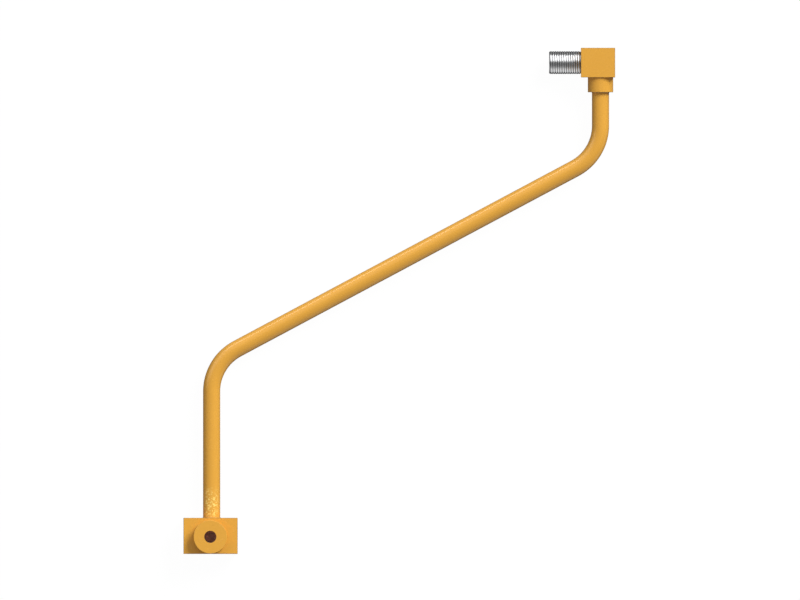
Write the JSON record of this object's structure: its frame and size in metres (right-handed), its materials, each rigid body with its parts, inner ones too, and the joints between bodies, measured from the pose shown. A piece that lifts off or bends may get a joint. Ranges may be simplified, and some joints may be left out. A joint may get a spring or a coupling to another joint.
{
  "type": "bent tube assembly",
  "caption": "Yellow painted steel tube bent twice in one plane, with a port block at its lower end and an elbow block with a bare threaded nipple at its upper end.",
  "frame": {"origin": "where the port's axis meets the back face of the port block", "axes": "+X from the port block's leg towards the elbow block's leg, +Y along the legs from the port block to the elbow block, +Z out of the port; the part lies on its back"},
  "size_m": [0.2404, 0.2819, 0.0235],
  "materials": {
    "yellow_paint": "semi-gloss ochre yellow paint",
    "bare_steel": "bright machined steel"
  },
  "bodies": {
    "root": {"bent_tube": "yellow_paint", "port_block": "yellow_paint", "elbow_block": "yellow_paint", "threaded_nipple": "bare_steel", "port_braze_ring": "yellow_paint", "collar_braze_ring": "yellow_paint"}
  },
  "joints": []
}
